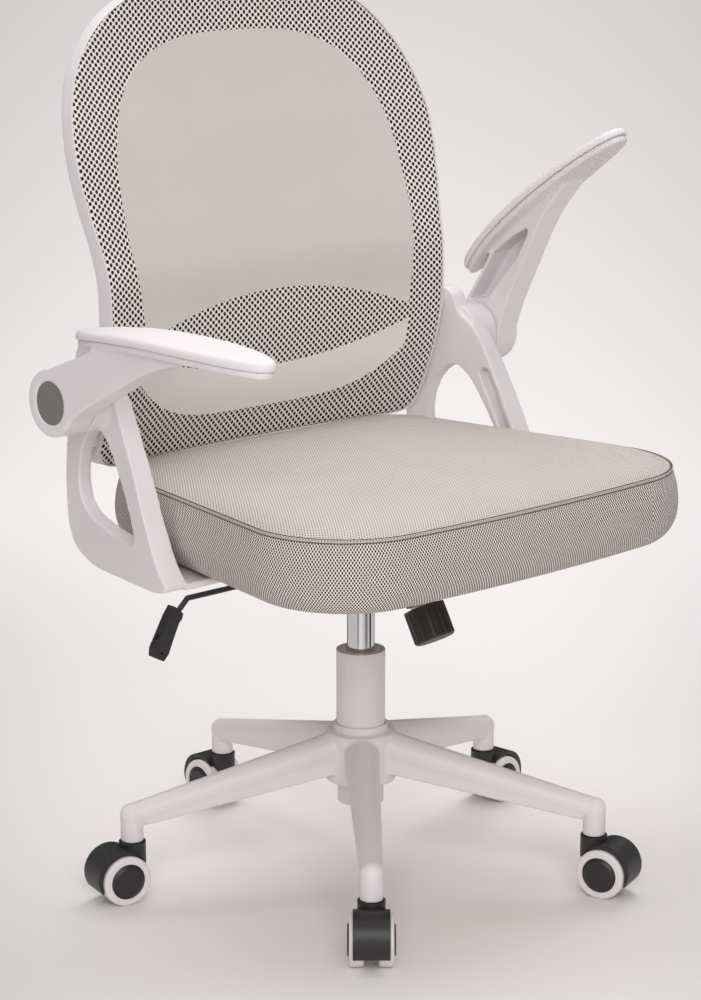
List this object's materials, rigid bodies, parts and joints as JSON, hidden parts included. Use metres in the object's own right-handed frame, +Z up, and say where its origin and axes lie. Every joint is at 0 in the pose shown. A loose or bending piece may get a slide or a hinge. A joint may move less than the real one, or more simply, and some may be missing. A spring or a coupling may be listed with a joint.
{
  "type": "office_chair",
  "caption": "White office chair with an upholstered seat, a framed mesh back, flip-up armrests, a gas column and a five-star base on twin-wheel casters",
  "frame": {"origin": "on the floor, on the axis of the column", "axes": "+Z up, the sitter faces -Y, the sitter's left is +X"},
  "size_m": [0.628, 0.5485, 0.9085],
  "materials": {
    "white_plastic": "fine moulded texture, satin",
    "black_plastic": "fine moulded texture",
    "grey_plastic": "smooth, matt",
    "pad_plastic": "soft-touch skin",
    "chrome": "polished",
    "bright_steel": "zinc plated",
    "black_steel": "powder coated, matt",
    "mesh": "knitted mesh with dark dots",
    "seat_fabric": "woven, grey-beige with dark flecks",
    "plywood": "plain plywood",
    "tread": "light polyurethane tread"
  },
  "bodies": {
    "base": {"five_star_base": "white_plastic", "caster_stems": "bright_steel", "column_tube": "white_plastic", "column_bushing": "black_plastic", "rod_bearing": "grey_plastic"},
    "piston": {"piston_rod": "bright_steel"},
    "mechanism": {"gas_cylinder": "chrome", "mechanism_housing": "black_steel", "tilt_axle": "bright_steel", "tension_spring": "bright_steel"},
    "release": {"release_button": "bright_steel"},
    "lever_pivot": {"lever_bush": "black_plastic"},
    "lever": {"lever_rod": "black_steel", "lever_grip": "black_plastic"},
    "knob_slide": {"tension_washer": "bright_steel"},
    "knob": {"tension_knob": "black_plastic"},
    "seat": {"seat_plate": "black_steel", "seat_board": "plywood", "seat_cushion": "seat_fabric", "arm_frame_right": "white_plastic", "arm_frame_left": "white_plastic", "frame_bolts": "bright_steel", "back_frame": "white_plastic", "lumbar_support": "white_plastic", "back_mesh": "mesh", "arm_pivot_caps": "grey_plastic"},
    "armrest_right_body": {"armrest_right": "white_plastic", "arm_pad_right": "pad_plastic"},
    "armrest_left_body": {"armrest_left": "white_plastic", "arm_pad_left": "pad_plastic"},
    "caster_1": {"caster_1_hood": "black_plastic", "caster_1_axle": "bright_steel"},
    "wheel_1_left": {"caster_1_disc_left": "black_plastic", "caster_1_tread_left": "tread"},
    "wheel_1_right": {"caster_1_disc_right": "black_plastic", "caster_1_tread_right": "tread"},
    "caster_2": {"caster_2_hood": "black_plastic", "caster_2_axle": "bright_steel"},
    "wheel_2_left": {"caster_2_disc_left": "black_plastic", "caster_2_tread_left": "tread"},
    "wheel_2_right": {"caster_2_disc_right": "black_plastic", "caster_2_tread_right": "tread"},
    "caster_3": {"caster_3_hood": "black_plastic", "caster_3_axle": "bright_steel"},
    "wheel_3_left": {"caster_3_disc_left": "black_plastic", "caster_3_tread_left": "tread"},
    "wheel_3_right": {"caster_3_disc_right": "black_plastic", "caster_3_tread_right": "tread"},
    "caster_4": {"caster_4_hood": "black_plastic", "caster_4_axle": "bright_steel"},
    "wheel_4_left": {"caster_4_disc_left": "black_plastic", "caster_4_tread_left": "tread"},
    "wheel_4_right": {"caster_4_disc_right": "black_plastic", "caster_4_tread_right": "tread"},
    "caster_5": {"caster_5_hood": "black_plastic", "caster_5_axle": "bright_steel"},
    "wheel_5_left": {"caster_5_disc_left": "black_plastic", "caster_5_tread_left": "tread"},
    "wheel_5_right": {"caster_5_disc_right": "black_plastic", "caster_5_tread_right": "tread"}
  },
  "joints": [
    {"name": "seat_swivel", "type": "hinge", "parent": "base", "child": "piston", "pos_m": [0, 0, 0.236], "axis": [0, 0, 1], "continuous": true},
    {"name": "seat_lift", "type": "slide", "parent": "piston", "child": "mechanism", "axis": [0, 0, 1], "range_m": [-0.06, 0.04]},
    {"name": "tilt", "type": "hinge", "parent": "mechanism", "child": "seat", "pos_m": [0, -0.026, 0.335], "axis": [-1, 0, 0], "range_deg": [0, 10], "stiffness_Nm_per_rad": 60, "springref_deg": -17.19},
    {"name": "lever_lift", "type": "hinge", "parent": "mechanism", "child": "lever_pivot", "pos_m": [-0.046, 0, 0.3324], "axis": [0, 1, 0], "range_deg": [0, 2]},
    {"name": "lever_lock", "type": "slide", "parent": "lever_pivot", "child": "lever", "axis": [-1, 0, 0], "range_m": [0, 0.01]},
    {"name": "button_press", "type": "slide", "parent": "mechanism", "child": "release", "axis": [0, 0, 1], "range_m": [-0.003, 0], "stiffness_N_per_m": 400},
    {"name": "knob_travel", "type": "slide", "parent": "mechanism", "child": "knob_slide", "axis": [0, 0.5, 0.866], "range_m": [0, 0.0045], "deforming": ["tension_spring"]},
    {"name": "knob_turn", "type": "hinge", "parent": "knob_slide", "child": "knob", "pos_m": [0, -0.083, 0.312], "axis": [0, 0.5, 0.866], "range_deg": [0, 1080]},
    {"name": "arm_flip_right", "type": "hinge", "parent": "seat", "child": "armrest_right_body", "pos_m": [-0.29, 0.109, 0.517], "axis": [-1, 0, 0], "range_deg": [0, 90]},
    {"name": "arm_flip_left", "type": "hinge", "parent": "seat", "child": "armrest_left_body", "pos_m": [0.29, 0.109, 0.517], "axis": [-1, 0, 0], "range_deg": [-36, 54]},
    {"name": "caster_1_swivel", "type": "hinge", "parent": "base", "child": "caster_1", "pos_m": [-0.16009, -0.18546, 0.06], "axis": [0, 0, 1], "continuous": true},
    {"name": "wheel_1_left_roll", "type": "hinge", "parent": "caster_1", "child": "wheel_1_left", "pos_m": [-0.17032, -0.19643, 0.0255], "axis": [0.7314, -0.682, 0], "continuous": true},
    {"name": "wheel_1_right_roll", "type": "hinge", "parent": "caster_1", "child": "wheel_1_right", "pos_m": [-0.17032, -0.19643, 0.0255], "axis": [0.7314, -0.682, 0], "continuous": true},
    {"name": "caster_2_swivel", "type": "hinge", "parent": "base", "child": "caster_2", "pos_m": [0.12692, -0.20956, 0.06], "axis": [0, 0, 1], "continuous": true},
    {"name": "wheel_2_left_roll", "type": "hinge", "parent": "caster_2", "child": "wheel_2_left", "pos_m": [0.13185, -0.22373, 0.0255], "axis": [0.9444, 0.3289, 0], "continuous": true},
    {"name": "wheel_2_right_roll", "type": "hinge", "parent": "caster_2", "child": "wheel_2_right", "pos_m": [0.13185, -0.22373, 0.0255], "axis": [0.9444, 0.3289, 0], "continuous": true},
    {"name": "caster_3_swivel", "type": "hinge", "parent": "base", "child": "caster_3", "pos_m": [0.23853, 0.05595, 0.06], "axis": [0, 0, 1], "continuous": true},
    {"name": "wheel_3_left_roll", "type": "hinge", "parent": "caster_3", "child": "wheel_3_left", "pos_m": [0.25346, 0.05731, 0.0255], "axis": [-0.0906, 0.9959, 0], "continuous": true},
    {"name": "wheel_3_right_roll", "type": "hinge", "parent": "caster_3", "child": "wheel_3_right", "pos_m": [0.25346, 0.05731, 0.0255], "axis": [-0.0906, 0.9959, 0], "continuous": true},
    {"name": "caster_4_swivel", "type": "hinge", "parent": "base", "child": "caster_4", "pos_m": [0.0205, 0.24414, 0.06], "axis": [0, 0, 1], "continuous": true},
    {"name": "wheel_4_left_roll", "type": "hinge", "parent": "caster_4", "child": "wheel_4_left", "pos_m": [0.02071, 0.25914, 0.0255], "axis": [-0.9999, 0.014, 0], "continuous": true},
    {"name": "wheel_4_right_roll", "type": "hinge", "parent": "caster_4", "child": "wheel_4_right", "pos_m": [0.02071, 0.25914, 0.0255], "axis": [-0.9999, 0.014, 0], "continuous": true},
    {"name": "caster_5_swivel", "type": "hinge", "parent": "base", "child": "caster_5", "pos_m": [-0.22586, 0.09494, 0.06], "axis": [0, 0, 1], "continuous": true},
    {"name": "wheel_5_left_roll", "type": "hinge", "parent": "caster_5", "child": "wheel_5_left", "pos_m": [-0.24048, 0.09827, 0.0255], "axis": [-0.2215, -0.9751, 0], "continuous": true},
    {"name": "wheel_5_right_roll", "type": "hinge", "parent": "caster_5", "child": "wheel_5_right", "pos_m": [-0.24048, 0.09827, 0.0255], "axis": [-0.2215, -0.9751, 0], "continuous": true}
  ],
  "couplings": [
    {"joint": "button_press", "follows": "lever_lift", "m_per_rad": -0.046},
    {"joint": "knob_turn", "follows": "knob_travel", "rad_per_m": 4188.8}
  ]
}
